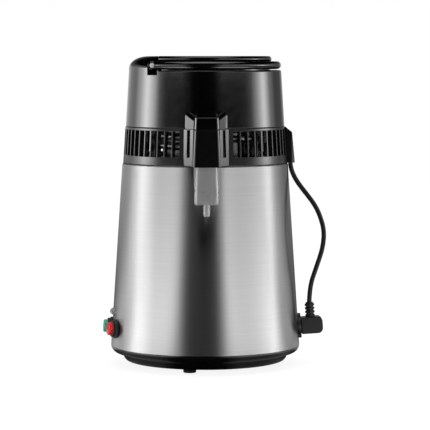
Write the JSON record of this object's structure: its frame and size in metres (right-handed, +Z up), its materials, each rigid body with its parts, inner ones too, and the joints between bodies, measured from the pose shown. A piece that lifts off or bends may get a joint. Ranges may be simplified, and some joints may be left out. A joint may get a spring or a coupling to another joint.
{
  "type": "countertop water distiller",
  "caption": "Tapered steel water distiller with a black lift-off cooling head, folding handle, front spout cup, push buttons and a corded fan plug.",
  "frame": {"origin": "on the vertical axis of the casing, at the worktop under the feet", "axes": "+Z up; the spout faces -Y, the push buttons are on the -X side, the fan plug on the +X side and the mains inlet on the +Y side"},
  "size_m": [0.2652, 0.2428, 0.365],
  "materials": {
    "brushed_steel": "fine horizontal brushing",
    "drawn_steel": "deep drawn and polished",
    "gloss_black_abs": "moulded, high gloss",
    "satin_black_abs": "moulded, satin",
    "black_nylon": "moulded, fine texture",
    "black_rubber": "moulded, matt",
    "black_pvc": "extruded and moulded, satin",
    "zinc_screws": "zinc plated",
    "spring_steel": "drawn and ground",
    "nickel_brass": "nickel washed",
    "aluminium_plate": "as rolled",
    "element_sheath": "heat tinted sheath",
    "thermal_switch_body": "phenolic moulding",
    "switch_nut": "moulded nut",
    "red_cap": "moulded, glossy",
    "green_cap": "moulded, glossy",
    "lamp_metal": "nickel plated",
    "lamp_lens": "clear smoked lens",
    "white_silicone": "moulded silicone",
    "motor_enamel": "laminated steel, lacquered",
    "frosted_white_pp": "moulded, translucent",
    "filter_fleece": "non-woven pouch over charcoal grains"
  },
  "bodies": {
    "boiler": {"outer_casing": "brushed_steel", "boiling_chamber": "drawn_steel", "base_ring": "satin_black_abs", "base_tray": "satin_black_abs", "power_inlet": "black_nylon", "fan_socket": "black_nylon", "red_switch": "black_nylon", "green_switch": "black_nylon", "rubber_feet": "black_rubber", "foot_screws": "zinc_screws", "base_screws": "zinc_screws", "inlet_screws": "zinc_screws", "socket_screws": "zinc_screws", "red_spring": "spring_steel", "green_spring": "spring_steel", "inlet_pins": "nickel_brass", "heat_spreader": "aluminium_plate", "heating_element": "element_sheath", "thermostat": "thermal_switch_body", "thermal_cutoff": "thermal_switch_body", "switch_nuts": "switch_nut", "lamp_holder": "lamp_metal", "pilot_lamp": "lamp_lens"},
    "head": {"vent_ring": "satin_black_abs", "spout_hood": "satin_black_abs", "head_dome": "gloss_black_abs", "lid_plate": "drawn_steel", "lid_gasket": "white_silicone", "head_screws": "zinc_screws", "condenser_coil": "drawn_steel", "steam_seal": "white_silicone", "air_guide": "satin_black_abs", "fan_motor": "motor_enamel", "motor_bearings": "nickel_brass", "fan_bracket": "drawn_steel", "bracket_screws": "zinc_screws", "fan_guard": "gloss_black_abs", "handle_screws": "zinc_screws", "cord_cover": "satin_black_abs", "cord_bush": "black_rubber", "fan_cord": "black_pvc"},
    "fan": {"fan_shaft": "spring_steel", "fan_rotor": "satin_black_abs"},
    "handle": {"carry_handle": "gloss_black_abs"},
    "spout": {"spout_cup": "frosted_white_pp", "charcoal_filter": "filter_fleece"},
    "red_push": {"red_button": "red_cap"},
    "green_push": {"green_button": "green_cap"},
    "plug": {"fan_plug": "black_pvc"}
  },
  "joints": [
    {"name": "head_lift", "type": "slide", "parent": "boiler", "child": "head", "axis": [0, 0, 1], "range_m": [0, 0.11]},
    {"name": "fan_spin", "type": "hinge", "parent": "head", "child": "fan", "pos_m": [0, 0, 0.33], "axis": [0, 0, 1], "continuous": true},
    {"name": "handle_swing", "type": "hinge", "parent": "head", "child": "handle", "pos_m": [-0.062, 0, 0.35425], "axis": [0, -1, 0], "range_deg": [0, 90]},
    {"name": "spout_pull", "type": "slide", "parent": "head", "child": "spout", "axis": [0, 0, -1], "range_m": [0, 0.02]},
    {"name": "red_press", "type": "slide", "parent": "boiler", "child": "red_push", "axis": [0.949, 0.3084, -0.0651], "range_m": [0, 0.003], "stiffness_N_per_m": 400, "deforming": ["red_spring"]},
    {"name": "green_press", "type": "slide", "parent": "boiler", "child": "green_push", "axis": [0.996, 0.0609, -0.0651], "range_m": [0, 0.003], "stiffness_N_per_m": 400, "deforming": ["green_spring"]},
    {"name": "plug_pull", "type": "slide", "parent": "head", "child": "plug", "axis": [0.9979, 0, 0.0651], "range_m": [0, 0.025], "deforming": ["fan_cord"]}
  ]
}
